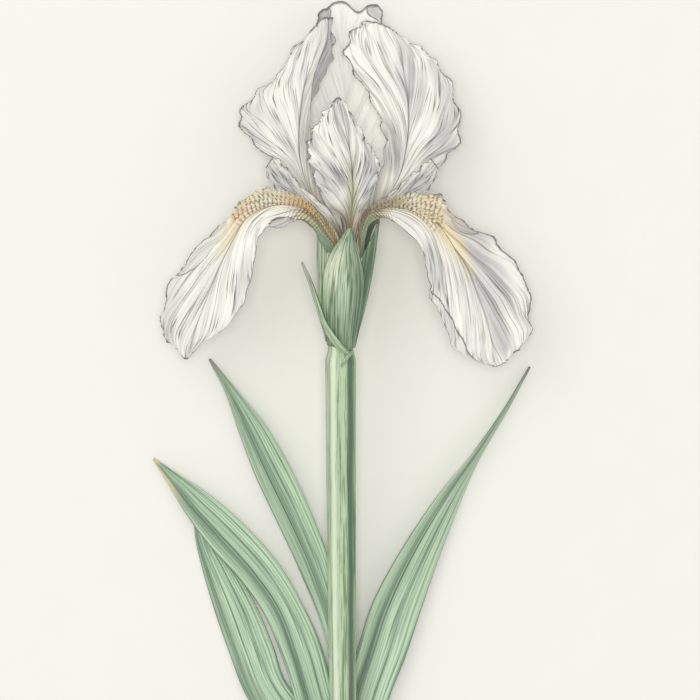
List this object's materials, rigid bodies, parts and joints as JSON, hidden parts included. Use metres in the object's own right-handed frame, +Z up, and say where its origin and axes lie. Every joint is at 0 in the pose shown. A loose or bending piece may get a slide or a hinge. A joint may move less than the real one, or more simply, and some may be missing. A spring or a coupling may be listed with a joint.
{
  "type": "bearded iris flower",
  "caption": "Cut bearded iris lying on its back: white bloom with drooping falls and upright standards, green bracts, ribbed stem and sword-shaped leaves.",
  "frame": {"origin": "on the surface the flower lies on, under the middle of its outline", "axes": "+Y from the cut foot to the bloom, +Z up from the surface, +X to the right seen from above"},
  "size_m": [0.115, 0.2564, 0.0594],
  "materials": {
    "petal": "ivory white petal with fine fanning veins, soft satin",
    "beard": "short yellow-orange hairs",
    "stamen": "cream, powdery",
    "bract": "pale sage green with fine lengthwise veins",
    "stem": "sage green, long shallow ribs, waxy",
    "leaf": "blue-grey green with parallel veins, waxy"
  },
  "bodies": {
    "root": {"stem": "stem", "ovary_and_tube": "bract", "spathe_front": "bract", "spathe_left": "bract", "spathe_right": "bract", "spathe_outer": "bract", "spathe_scale": "bract", "fall_left": "petal", "fall_right": "petal", "fall_back": "petal", "standard_left": "petal", "standard_right": "petal", "standard_front": "petal", "style_left": "petal", "style_right": "petal", "style_back": "petal", "beard_left": "beard", "beard_right": "beard", "beard_back": "beard", "stamen_left": "stamen", "stamen_right": "stamen", "stamen_back": "stamen", "leaf_upper_left": "leaf", "leaf_right": "leaf", "leaf_lower_left": "leaf", "leaf_behind_left": "leaf"}
  },
  "joints": []
}
